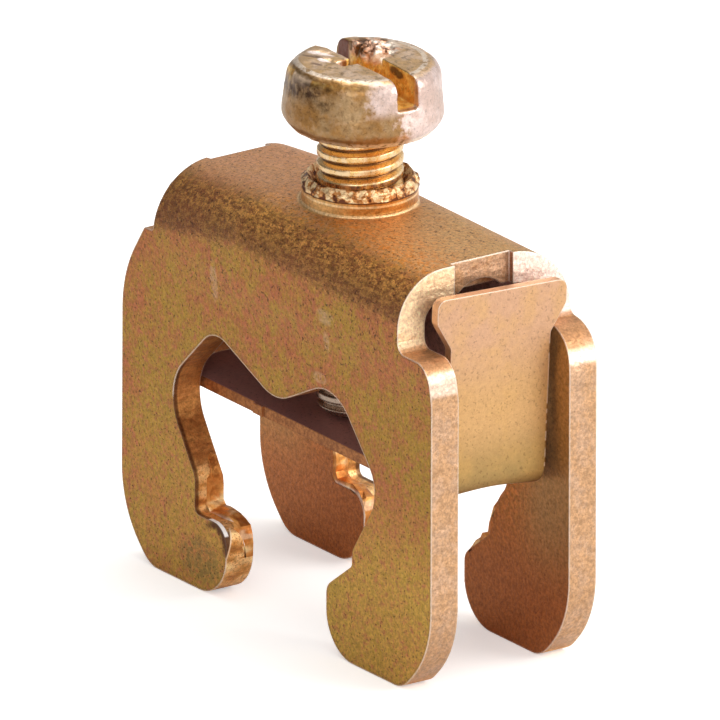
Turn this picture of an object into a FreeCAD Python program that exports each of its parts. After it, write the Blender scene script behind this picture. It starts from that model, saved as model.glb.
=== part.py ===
import FreeCAD, Part
import math
import os

os.makedirs("parts", exist_ok=True)

# An earth bar connector: a folded steel saddle that hooks on to a flat earth bar,
# a loose T-ended pressure plate inside it, and the M5 screw that drives the plate down.
# X runs along the saddle, Y through its two legs (the way the bar runs), Z up from the feet.

# Driving dimensions of the saddle, in millimetres.
sheet = 1.85                # thickness of the saddle's steel
leg_length = 30.3           # legs, end to end
leg_spread = 11.3           # over the outsides of the two legs
shoulder_height = 20.0      # feet to the shoulders that carry the plate
dome_rise = 4.4             # shoulders to the top of the dome
dome_length = 24.3          # dome, end to end
dome_bulge = 0.25           # how far the dome swells past each leg
dome_radius = 3.1           # outside rounding along the near side of the dome
far_dome_radius = 4.0       # the far side is bent more softly
swell_radius = 6.0          # easing from leg to dome
swell_height = 1.8          # height over which the leg eases out
swell_drop = 0.5            # end of the easing below the shoulders
droop = 0.75                # the dome sinks by this much towards its left end
droop_clear = 0.5           # distance from the collar where it begins to sink
droop_bulge = 0.03          # what is left of the swelling at the left end
droop_radius = 3.9          # outside rounding at the left end
bar_width = 15.0            # width of the bar that the hooks take
mouth = 9.8                 # gap between the two hook tips
hook_top = 4.4              # height of the square hook's seat
snap_root = 5.8             # height of the sloped hook at its root
snap_tip = 3.95             # height of the sloped hook at its tip
window_top = 15.92          # height where the left crown's flanks cross

# Roundings and slopes of the stamped leg, in millimetres.
foot_round = 2.0            # outer end of the flat foot
foot_inset = 2.75           # size of the foot's 45 degree cut-back
barrel_round = 6.0          # long rounding above the foot
slope_round = 7.0           # long rounding below the sloped shoulder
slope_inset = 2.2           # run of the sloped shoulder
slope_drop = 3.3            # fall of the sloped shoulder
near_shoulder_round = 1.2   # plain shoulder of the near leg
far_shoulder_round = 2.6    # plain shoulder of the far leg
left_corner_round = 0.2     # corner between the left shoulders and the dome
right_corner_round = 0.6    # corner between the right shoulders and the dome
heel_round = 2.6            # inner end of each foot
tip_round = 1.3             # tip of the square hook
snap_round = 0.9            # tip of the sloped hook
root_round = 0.4            # inner corners of both hooks
square_clearance = 0.5      # square hook's wall beyond the bar
snap_clearance = -0.1       # sloped hook's wall beyond the bar
square_wall = 2.15          # height of the square hook's wall
snap_wall = 0.9             # height of the sloped hook's wall
wall_round = 1.2            # where the walls start to lean outward
square_lean = 3.0           # outward run of the square side's wall
square_belly_rise = 6.82    # hook top to the square side's widest point
snap_lean = 2.76            # outward run of the sloped side's wall
snap_belly_rise = 5.14      # hook root to the sloped side's widest point
square_belly_round = 3.0
snap_belly_round = 2.3
square_crown_inset = 1.78   # crown over the square hook, inside its wall
square_crown_round = 2.0
snap_crown_inset = 1.84     # crown over the sloped hook, inside its wall
snap_crown_rise = 0.3       # how much higher its flanks cross
snap_crown_round = 2.8
dip = 2.55                  # drop from the crown to the lobe between the crowns
dip_place = -0.1            # the lobe, along X
dip_round = 3.0

# Notches and collar at the top of the saddle, in millimetres.
notch_width = 4.0
notch_depth = 0.4
scallop_width = 2.9
scallop_height = 0.6
collar_wall = 0.8
collar_rise = 1.55          # dome top to the torn rim
rim_fall = 0.45             # outer edge of the rim below its ridge
rim_width = 0.3             # width of the torn slope outside the ridge
rim_sink = 0.6              # fall of the rim from its ridge into the bore
collar_fillet = 0.2
entry_flare = 0.4           # eased start of the bore under the dome

# Driving dimensions of the pressure plate, in millimetres.
plate_sheet = 0.6
flap_gap = 0.5              # dome end to the inside of each upturned flap
side_play = 0.4             # each long edge to the leg beside it
plate_shift = 0.3           # the loose plate lies this much to the right
wing_catch = 0.6            # how far each wing of the T reaches over a leg's inside
wing_sink = 0.09            # foot of the wings' slopes below the shoulders they rest on
plate_hang = 9.21           # foot of the wings' slopes down to the long edges
plate_arch = 0.5            # rise of the middle over the long edges
wing_slope = 1.6            # height of the sloped undersides of the T
wing_side = 1.4             # straight side of the right-hand T below its top
flap_drop = 0.7             # the left-hand T ends this much lower
wing_top_round = 0.55
wing_round = 0.45
bend_inside = 0.8           # inside radius of both bends
nub_length = 0.9
nub_reach = 0.1
nub_place = -5.0            # cut-off nub on the near long edge, along X
plate_lean = 2.5            # degrees; the loose plate leans over until it nearly meets the legs

# Driving dimensions of the clamp screw, in millimetres.
screw_crest = 4.9           # over the thread crests of the M5 screw
bore_clearance = 0.05       # all round, between crest and collar
screw_length = 16.95        # tip to the underside of the head
head_height = 3.95
head_top_radius = 4.28
head_rim_radius = 4.62      # widest part, just above the underside
head_base_radius = 3.95
head_rim_rise = 0.7         # underside to the widest part
head_edge_round = 0.85
head_rim_round = 0.8
slot_width = 1.35
slot_flare = 0.5            # the slot is this much wider at its worn left end
slot_place = 0.1            # middle of the slot beyond the screw's axis
slot_depth = 1.75
cross_width = 0.85          # wing of the cross recess
cross_reach = 1.8           # centre to the wing's end at the top
cross_root = 0.9            # centre to the wing's end at the bottom
cross_depth = 2.5
cross_open = 0.1            # how far the cutting shape of the cross stands over the head
tip_chamfer = 0.45
tip_gap = 0.05              # keeps the flat tip clear of the leaning plate

# Sizes that follow from the ones above.
saddle_height = shoulder_height + dome_rise
leg_end = leg_length / 2
leg_face = leg_spread / 2
dome_end = dome_length / 2
dome_half = leg_face + dome_bulge
dome_under = saddle_height - sheet
swell_start = shoulder_height - swell_height - swell_drop
swell_end = shoulder_height - swell_drop
square_root = -(bar_width / 2 + square_clearance)
snap_root_x = bar_width / 2 + snap_clearance
square_crown = square_root + square_crown_inset
snap_crown = snap_root_x - snap_crown_inset
square_belly = hook_top + square_belly_rise
snap_belly = snap_root + snap_belly_rise
collar_top = saddle_height + collar_rise
bore_radius = screw_crest / 2 + bore_clearance
collar_radius = bore_radius + collar_wall
droop_start = collar_radius + droop_clear
plate_end = dome_end + flap_gap + plate_sheet
neck_width = leg_spread - 2 * sheet - 2 * side_play
head_width = leg_spread - 2 * sheet + 2 * wing_catch
slope_foot = shoulder_height - wing_sink
slope_top = slope_foot + wing_slope
flap_top = slope_top + wing_side
plate_rest = slope_foot - plate_hang
arch_radius = ((neck_width / 2) ** 2 + plate_arch ** 2) / (2 * plate_arch)
arch_centre = plate_rest + plate_arch - arch_radius
screw_tip = arch_centre + arch_radius + plate_sheet + tip_gap
head_base = screw_tip + screw_length
beyond = 1.0                # how far cutting shapes run past the metal
touch = 0.001               # points nearer than this are one point


def rounded_face(corners, place):
    """A flat face through corners (u, v, radius), each corner rounded by its radius."""
    count = len(corners)
    trims = []
    for i, (u, v, radius) in enumerate(corners):
        corner = FreeCAD.Vector(u, v, 0)
        before = FreeCAD.Vector(*corners[i - 1][:2], 0) - corner
        after = FreeCAD.Vector(*corners[(i + 1) % count][:2], 0) - corner
        before.normalize()
        after.normalize()
        if radius == 0:
            trims.append((corner, None, corner))
            continue
        half = before.getAngle(after) / 2
        reach = radius / math.tan(half)
        middle = before + after
        middle.normalize()
        bulge = radius / math.sin(half) - radius
        trims.append((corner + before * reach, corner + middle * bulge, corner + after * reach))
    edges = []
    for i, (start, middle, end) in enumerate(trims):
        if middle is not None:
            points = [place(p.x, p.y) for p in (start, middle, end)]
            edges.append(Part.Arc(*points).toShape())
        follow = trims[(i + 1) % count][0]
        if (follow - end).Length > touch:
            edges.append(Part.makeLine(place(end.x, end.y), place(follow.x, follow.y)))
    return Part.Face(Part.Wire(edges))


def side_prism(corners, y0, y1):
    """Extrudes a side-view outline (X, Z) along Y, from y0 to y1."""
    face = rounded_face(corners, lambda u, v: FreeCAD.Vector(u, y0, v))
    return face.extrude(FreeCAD.Vector(0, y1 - y0, 0))


def end_prism(corners, x0, x1):
    """Extrudes an end-view outline (Y, Z) along X, from x0 to x1."""
    face = rounded_face(corners, lambda u, v: FreeCAD.Vector(x0, u, v))
    return face.extrude(FreeCAD.Vector(x1 - x0, 0, 0))


def turned(corners):
    """Turns a profile (radius, Z) round the vertical axis."""
    face = rounded_face(corners, lambda u, v: FreeCAD.Vector(u, 0, v))
    return face.revolve(FreeCAD.Vector(0, 0, 0), FreeCAD.Vector(0, 0, 1), 360)


def block(x0, x1, y0, y1, z0, z1):
    """A box between two corners."""
    return Part.makeBox(x1 - x0, y1 - y0, z1 - z0, FreeCAD.Vector(x0, y0, z0))


def lying_cylinder(radius, height, reach):
    """A cylinder along X at the given height."""
    start = FreeCAD.Vector(-reach, 0, height)
    return Part.makeCylinder(radius, 2 * reach, start, FreeCAD.Vector(1, 0, 0))


def leg_outline(shoulder_round):
    """The stamped side view: both feet, the hooks, the window and the dome above."""
    top = saddle_height + beyond
    square_mouth = -mouth / 2
    snap_mouth = mouth / 2
    crown = window_top
    outside = [
        (-(leg_end - foot_inset), 0, foot_round),
        (-leg_end, foot_inset, barrel_round),
        (-leg_end, shoulder_height - slope_drop, slope_round),
        (-(leg_end - slope_inset), shoulder_height, left_corner_round),
        (-dome_end, shoulder_height, left_corner_round),
        (-dome_end, top, 0),
        (dome_end, top, 0),
        (dome_end, shoulder_height, right_corner_round),
        (leg_end, shoulder_height, shoulder_round),
        (leg_end, foot_inset, barrel_round),
        (leg_end - foot_inset, 0, foot_round),
    ]
    snap_side = [
        (snap_mouth, 0, heel_round),
        (snap_mouth, snap_tip, snap_round),
        (snap_root_x, snap_root, root_round),
        (snap_root_x, snap_root + snap_wall, wall_round),
        (snap_root_x + snap_lean, snap_belly, snap_belly_round),
        (snap_crown, crown + snap_crown_rise, snap_crown_round),
    ]
    square_side = [
        (dip_place, crown - dip, dip_round),
        (square_crown, crown, square_crown_round),
        (square_root - square_lean, square_belly, square_belly_round),
        (square_root, hook_top + square_wall, wall_round),
        (square_root, hook_top, root_round),
        (square_mouth, hook_top, tip_round),
        (square_mouth, 0, heel_round),
    ]
    return outside + snap_side + square_side


def channel_side(half, top, radius):
    """Outside corners of one leg up to the dome, and inside corners down again."""
    outer = [
        (leg_face, 0, 0),
        (leg_face, swell_start, swell_radius),
        (half, swell_end, swell_radius),
        (half, top, radius),
    ]
    inner = [
        (half - sheet, top - sheet, radius - sheet),
        (half - sheet, swell_end, swell_radius),
        (leg_face - sheet, swell_start, swell_radius),
        (leg_face - sheet, 0, 0),
    ]
    return outer, inner


def channel_outline(half, top, near_radius, far_radius):
    """The end view of the folded sheet: two legs joined by the swollen dome."""
    far_outer, far_inner = channel_side(half, top, far_radius)
    near_outer, near_inner = channel_side(half, top, near_radius)
    mirrored_outer = [(-y, z, r) for y, z, r in reversed(near_outer)]
    mirrored_inner = [(-y, z, r) for y, z, r in reversed(near_inner)]
    return far_outer + mirrored_outer + mirrored_inner + far_inner


def channel_face(corners, x):
    """An end-view outline (Y, Z) as a face standing at the given X."""
    return rounded_face(corners, lambda u, v: FreeCAD.Vector(x, u, v))


def folded_sheet():
    """The folded sheet before stamping: level to the right, sinking to the left."""
    full = channel_outline(dome_half, saddle_height, dome_radius, far_dome_radius)
    low_half = leg_face + droop_bulge
    low = channel_outline(low_half, saddle_height - droop, droop_radius, droop_radius)
    level_face = channel_face(full, -droop_start)
    low_face = channel_face(low, -dome_end)
    level = level_face.extrude(FreeCAD.Vector(droop_start + leg_end + beyond, 0, 0))
    sinking = Part.makeLoft([level_face.OuterWire, low_face.OuterWire], True, True)
    end = low_face.extrude(FreeCAD.Vector(dome_end - leg_end - beyond, 0, 0))
    return level.fuse([sinking, end])


def collar_solid():
    """The collar drawn up from the dome, with its torn rim sinking into the bore."""
    foot = dome_under + sheet / 2
    profile = [
        (0, foot, 0),
        (collar_radius, foot, 0),
        (collar_radius, collar_top - rim_fall, 0),
        (collar_radius - rim_width, collar_top, 0),
        (bore_radius, collar_top - rim_sink, 0),
        (0, collar_top - rim_sink, 0),
    ]
    return turned(profile)


def root_edges(shape):
    """The edges where the collar's outer wall meets the dome."""
    found = []
    for edge in shape.Edges:
        points = [v.Point for v in edge.Vertexes]
        on_wall = all(abs(math.hypot(p.x, p.y) - collar_radius) < touch for p in points)
        low = edge.BoundBox.ZMax < saddle_height + touch
        outside = edge.BoundBox.ZMin > dome_under + sheet / 2 + touch
        if on_wall and low and outside:
            found.append(edge)
    return found


def make_saddle():
    reach = dome_half + beyond
    near_leg = side_prism(leg_outline(near_shoulder_round), -reach, 0)
    far_leg = side_prism(leg_outline(far_shoulder_round), 0, reach)
    shape = folded_sheet().common(near_leg.fuse(far_leg).removeSplitter())
    for side, fall in ((-1, droop), (1, 0)):
        under = dome_under - fall
        outer = side * (dome_end + beyond)
        inner = side * (dome_end - notch_depth)
        x0, x1 = sorted((outer, inner))
        half = notch_width / 2
        shape = shape.cut(block(x0, x1, -half, half, under - beyond, saddle_height + beyond))
        arch = (scallop_width / 2) ** 2 + scallop_height ** 2
        radius = arch / (2 * scallop_height)
        scallop_end = side * (dome_end - notch_depth - scallop_height)
        x0, x1 = sorted((outer, scallop_end))
        centre = FreeCAD.Vector(x0, 0, under + scallop_height - radius)
        scallop = Part.makeCylinder(radius, x1 - x0, centre, FreeCAD.Vector(1, 0, 0))
        shape = shape.cut(scallop)
    shape = shape.fuse(collar_solid())
    shape = shape.makeFillet(collar_fillet, root_edges(shape))
    low = dome_under - beyond
    bore = Part.makeCylinder(bore_radius, collar_top + beyond - low, FreeCAD.Vector(0, 0, low))
    flare = Part.makeCone(bore_radius + entry_flare, bore_radius, entry_flare,
                          FreeCAD.Vector(0, 0, dome_under))
    return shape.cut(bore).cut(flare)


def tee_outline(top):
    """End view of the strip: the narrow neck below, the wide head of the T above."""
    half = head_width / 2
    neck = neck_width / 2
    under = plate_rest - beyond
    return [
        (-neck, under, 0),
        (neck, under, 0),
        (neck, slope_foot, wing_round),
        (half, slope_top, wing_round),
        (half, top, wing_top_round),
        (-half, top, wing_top_round),
        (-half, slope_top, wing_round),
        (-neck, slope_foot, wing_round),
    ]


def make_plate():
    """Strip with both ends turned up, arched across, each flap cut to a T."""
    floor = plate_rest + plate_sheet
    top = flap_top + beyond
    outer_bend = bend_inside + plate_sheet
    inner_end = plate_end - plate_sheet
    outer = [
        (-plate_end, plate_rest, outer_bend),
        (plate_end, plate_rest, outer_bend),
        (plate_end, top, 0),
        (-plate_end, top, 0),
    ]
    inner = [
        (-inner_end, floor, bend_inside),
        (inner_end, floor, bend_inside),
        (inner_end, top + beyond, 0),
        (-inner_end, top + beyond, 0),
    ]
    half = head_width / 2
    neck = neck_width / 2
    reach = plate_end + beyond
    hollow = side_prism(inner, -half - beyond, half + beyond)
    hollow = hollow.cut(lying_cylinder(arch_radius + plate_sheet, arch_centre, reach))
    shape = side_prism(outer, -half - beyond, half + beyond)
    shape = shape.cut(lying_cylinder(arch_radius, arch_centre, reach))
    shape = shape.cut(hollow)
    right = end_prism(tee_outline(flap_top), 0, reach)
    left = end_prism(tee_outline(flap_top - flap_drop), -reach, 0)
    shape = shape.common(right.fuse(left))
    nub = block(nub_place - nub_length / 2, nub_place + nub_length / 2,
                -neck - nub_reach, -neck + nub_reach, plate_rest, floor)
    shape = shape.fuse(nub).removeSplitter()
    pivot = FreeCAD.Vector(0, 0, (plate_rest + shoulder_height) / 2)
    shape.rotate(pivot, FreeCAD.Vector(1, 0, 0), -plate_lean)
    shape.translate(FreeCAD.Vector(plate_shift, 0, 0))
    return shape


def cross_wing(angle):
    """One half-length wing of the cross recess, narrowing towards the tip of the driver."""
    top = head_base + head_height
    half = cross_width / 2
    face = rounded_face([
        (0, top - cross_depth, 0),
        (cross_root, top - cross_depth, 0),
        (cross_reach, top + cross_open, 0),
        (0, top + cross_open, 0),
    ], lambda u, v: FreeCAD.Vector(u, -half, v))
    wing = face.extrude(FreeCAD.Vector(0, cross_width, 0))
    wing.rotate(FreeCAD.Vector(0, 0, 0), FreeCAD.Vector(0, 0, 1), angle)
    return wing


def make_screw():
    top = head_base + head_height
    shank = screw_crest / 2
    shape = turned([
        (0, screw_tip, 0),
        (shank - tip_chamfer, screw_tip, 0),
        (shank, screw_tip + tip_chamfer, 0),
        (shank, head_base, 0),
        (head_base_radius, head_base, 0),
        (head_rim_radius, head_base + head_rim_rise, head_rim_round),
        (head_top_radius, top, head_edge_round),
        (0, top, 0),
    ])
    reach = head_rim_radius + beyond
    half = slot_width / 2
    worn = half + slot_flare / 2
    outline = rounded_face([
        (-reach, slot_place - worn, 0),
        (reach, slot_place - half, 0),
        (reach, slot_place + half, 0),
        (-reach, slot_place + worn, 0),
    ], lambda u, v: FreeCAD.Vector(u, v, top - slot_depth))
    shape = shape.cut(outline.extrude(FreeCAD.Vector(0, 0, slot_depth + beyond)))
    for quarter in range(4):
        shape = shape.cut(cross_wing(90 * quarter))
    return shape


parts = {
    "saddle": make_saddle(),
    "pressure_plate": make_plate(),
    "clamp_screw": make_screw(),
}
for name, shape in parts.items():
    shape.exportStep("parts/" + name + ".step")
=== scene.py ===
"""Dresses the packed earth bar connector: plated steel, a real thread, a torn collar rim."""

import math

import bmesh
import bpy
import numpy as np
from mathutils import Matrix, Vector, noise


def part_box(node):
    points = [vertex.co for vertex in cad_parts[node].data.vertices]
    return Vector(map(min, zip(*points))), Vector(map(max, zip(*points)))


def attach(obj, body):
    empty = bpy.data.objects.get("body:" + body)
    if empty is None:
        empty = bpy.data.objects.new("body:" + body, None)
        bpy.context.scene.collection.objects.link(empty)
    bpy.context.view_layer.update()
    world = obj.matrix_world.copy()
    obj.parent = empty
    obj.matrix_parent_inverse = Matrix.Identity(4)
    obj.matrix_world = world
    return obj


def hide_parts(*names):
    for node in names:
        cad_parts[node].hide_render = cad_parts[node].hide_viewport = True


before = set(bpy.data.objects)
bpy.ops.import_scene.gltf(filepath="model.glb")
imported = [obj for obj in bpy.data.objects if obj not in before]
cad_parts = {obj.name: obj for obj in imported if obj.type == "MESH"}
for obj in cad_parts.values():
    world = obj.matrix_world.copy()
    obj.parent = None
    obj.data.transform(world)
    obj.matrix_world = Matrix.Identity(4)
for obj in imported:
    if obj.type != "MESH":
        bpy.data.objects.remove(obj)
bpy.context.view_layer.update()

MM = 0.001

# Camera, as fitted to the photograph.
AZIMUTH = math.radians(54.997)
ELEVATION = math.radians(19.853)
ROLL = math.radians(0.207)
PIXELS_PER_MM = 17.8227
IMAGE_SIDE = 720
AIM = Vector((0, 0, 16 * MM))
OFFSET_RIGHT = 0.031 * MM
OFFSET_UP = -1.166 * MM
DISTANCE = 0.4

# Lamps: name, direction, distance and size in metres, power and colour.
LIGHTS = (("key", (0.75, 0.62, 0.50), 0.35, 0.22, 0.75, (1.0, 0.97, 0.94)),
          ("top", (-0.1, 0.1, 1.0), 0.35, 0.25, 0.40, (1.0, 0.99, 0.97)),
          ("front", (0.75, -0.9, 0.45), 0.40, 0.25, 0.35, (1.0, 0.98, 0.96)))

# The room: the strength of its light, where it is brightest, and the range over which it fades.
ROOM_DIM = 0.16
ROOM_BRIGHT = 0.95
ROOM_TOWARDS = (0.62, 0.58, 0.53)
ROOM_FADE = (-0.7, 0.8)

# The floor: half its side and its place in metres, and its glow towards the camera.
FLOOR_REACH = 1.5
FLOOR_HEIGHT = -0.00002
FLOOR_GLOW = 0.42

# Samples of each easing of an edge.
BEVEL_SAMPLES = 4

# From here on, lengths are in millimetres. The thread.
PITCH = 0.8
CREST = 2.45
ROOT = 2.10
THREAD_AROUND = 72
THREAD_ROWS_PER_PITCH = 14
THREAD_START = 0.12         # above the screw's tip
THREAD_OVERLAP = 0.05       # up into the head

# The collar and its torn rim.
COLLAR_OUTSIDE = 3.3
COLLAR_TOP = 25.95
RIM_AROUND = 260
RIM_BORE = 2.52
RIM_SEED = 7

# The head. It leans over about a place inside the collar.
HEAD_HEIGHT = 3.95
HEAD_CUT = 0.12             # below its underside, where it is cut from the solid
HEAD_VOXEL = 0.075
HEAD_WAVES = 0.03           # unevenness of its skin
HEAD_SLUMP = 0.28           # how far its worn edge sinks towards -X
CHEWED = (-1.35, 1.45)      # x and y of the place that the driver chewed
CHEWED_RADIUS = 1.7
LEAN = math.radians(1.6)
LEAN_HEIGHT = 25.0

# Nicks on the face of the head: x, y, turn, half width and half length.
TICKS = ((-1.85, -1.42, math.radians(25), 0.34, 0.95),
         (-0.75, -1.95, math.radians(20), 0.28, 0.50))
TICK_DEPTH = 0.12

# The saddle: its sheet, half its width over the legs, the tops of its shoulders and its dome.
SHEET = 1.85
LEG_OUTSIDE = 5.65
SHOULDER = 20.0
DOME_TOP = 24.4

# Middle of the rounding at the square hook's tip, along X and Z.
HOOK_TIP = (-6.2, 3.1)

# The torn half of the sheared hooks: how far it stands out, its corners along X and Z, the
# distance between its points, and its rows as shares of the sheet's depth and of that first value.
BREAK = 0.30
SQUARE_HOOK = ((-10.7, 10.6), (-10.2, 9.4), (-9.2, 8.0), (-8.35, 6.9), (-8.0, 6.3), (-8.0, 4.75),
               (-7.65, 4.4), (-6.2, 4.4), (-5.3, 4.05), (-4.92, 3.2), (-4.9, 2.4))
SLOPED_HOOK = ((4.9, 2.2), (4.92, 3.0), (5.4, 4.15), (6.1, 4.8), (7.35, 5.75), (7.4, 6.3),
               (7.9, 7.5), (9.1, 9.2), (9.9, 10.4))
BREAK_PACE = 0.55
BREAK_ROWS = ((0.44, -0.03), (0.50, 0.55), (0.66, 0.80), (0.84, 1.0), (0.99, 0.95), (1.0, -0.1))
BREAK_SEAT = (5.0, 1.6)     # height where it stands out most, and the spread of that
BREAK_SEED = 11


def basis(azimuth, elevation):
    """Right, up and back vectors of a view from the given angles."""
    right = Vector((math.cos(azimuth), math.sin(azimuth), 0))
    up = Vector((-math.sin(azimuth) * math.sin(elevation),
                 math.cos(azimuth) * math.sin(elevation), math.cos(elevation)))
    return right, up, right.cross(up)


def add_camera():
    """An orthographic camera that looks at the part as the photograph does."""
    right, up, back = basis(AZIMUTH, ELEVATION)
    target = AIM + right * OFFSET_RIGHT + up * OFFSET_UP
    turn = Matrix((right, up, back)).transposed().to_4x4()
    camera = bpy.data.objects.new("camera", bpy.data.cameras.new("camera"))
    camera.data.type = "ORTHO"
    camera.data.ortho_scale = IMAGE_SIDE / PIXELS_PER_MM * MM
    camera.data.clip_start = 0.01
    camera.data.clip_end = 10
    camera.matrix_world = (Matrix.Translation(target + back * DISTANCE) @ turn
                           @ Matrix.Rotation(ROLL, 4, "Z"))
    bpy.context.scene.collection.objects.link(camera)
    bpy.context.scene.camera = camera


def add_light(name, direction, distance, size, power, colour):
    """A square area lamp that looks at the object from a direction."""
    lamp = bpy.data.lights.new(name, "AREA")
    lamp.shape = "SQUARE"
    lamp.size = size
    lamp.energy = power
    lamp.color = colour
    lamp.use_shadow = True
    holder = bpy.data.objects.new(name, lamp)
    away = Vector(direction).normalized()
    holder.location = AIM + away * distance
    holder.rotation_euler = away.to_track_quat("Z", "Y").to_euler()
    bpy.context.scene.collection.objects.link(holder)


def add_world():
    """A soft room, brighter to the right and above than to the near left."""
    world = bpy.data.worlds.new("studio")
    bpy.context.scene.world = world
    world.use_nodes = True
    nodes, links = world.node_tree.nodes, world.node_tree.links
    nodes.clear()
    path = nodes.new("ShaderNodeLightPath")
    seen = nodes.new("ShaderNodeMath")
    seen.operation = "MAXIMUM"
    links.new(path.outputs["Is Camera Ray"], seen.inputs[0])
    links.new(path.outputs["Is Transmission Ray"], seen.inputs[1])
    place = nodes.new("ShaderNodeTexCoord")
    along = nodes.new("ShaderNodeVectorMath")
    along.operation = "DOT_PRODUCT"
    along.inputs[1].default_value = Vector(ROOM_TOWARDS).normalized()
    links.new(place.outputs["Generated"], along.inputs[0])
    level = nodes.new("ShaderNodeMapRange")
    level.interpolation_type = "SMOOTHSTEP"
    level.inputs["From Min"].default_value = ROOM_FADE[0]
    level.inputs["From Max"].default_value = ROOM_FADE[1]
    level.inputs["To Min"].default_value = ROOM_DIM
    level.inputs["To Max"].default_value = ROOM_BRIGHT
    links.new(along.outputs["Value"], level.inputs["Value"])
    soft = nodes.new("ShaderNodeBackground")
    soft.inputs["Color"].default_value = (1.0, 0.985, 0.965, 1)
    links.new(level.outputs["Result"], soft.inputs["Strength"])
    white = nodes.new("ShaderNodeBackground")
    white.inputs["Color"].default_value = (1, 1, 1, 1)
    mixed = nodes.new("ShaderNodeMixShader")
    links.new(seen.outputs[0], mixed.inputs[0])
    links.new(soft.outputs[0], mixed.inputs[1])
    links.new(white.outputs[0], mixed.inputs[2])
    out = nodes.new("ShaderNodeOutputWorld")
    links.new(mixed.outputs[0], out.inputs[0])


def add_floor():
    """A plain white floor that keeps the object's shadow."""
    reach = FLOOR_REACH
    mesh = bpy.data.meshes.new("floor")
    corners = [(-reach, -reach, 0), (reach, -reach, 0), (reach, reach, 0), (-reach, reach, 0)]
    mesh.from_pydata(corners, [], [(0, 1, 2, 3)])
    floor = bpy.data.objects.new("floor", mesh)
    floor.location.z = FLOOR_HEIGHT
    bpy.context.scene.collection.objects.link(floor)
    paint = bpy.data.materials.new("floor_white")
    paint.use_nodes = True
    nodes, links = paint.node_tree.nodes, paint.node_tree.links
    nodes.clear()
    path = nodes.new("ShaderNodeLightPath")
    diffuse = nodes.new("ShaderNodeBsdfDiffuse")
    diffuse.inputs["Color"].default_value = (0.86, 0.85, 0.84, 1)
    glow = nodes.new("ShaderNodeEmission")
    glow.inputs["Color"].default_value = (1, 1, 1, 1)
    strength = nodes.new("ShaderNodeMath")
    strength.operation = "MULTIPLY"
    strength.inputs[1].default_value = FLOOR_GLOW
    links.new(path.outputs["Is Camera Ray"], strength.inputs[0])
    links.new(strength.outputs[0], glow.inputs["Strength"])
    both = nodes.new("ShaderNodeAddShader")
    links.new(diffuse.outputs[0], both.inputs[0])
    links.new(glow.outputs[0], both.inputs[1])
    out = nodes.new("ShaderNodeOutputMaterial")
    links.new(both.outputs[0], out.inputs[0])
    mesh.materials.append(paint)


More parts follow.
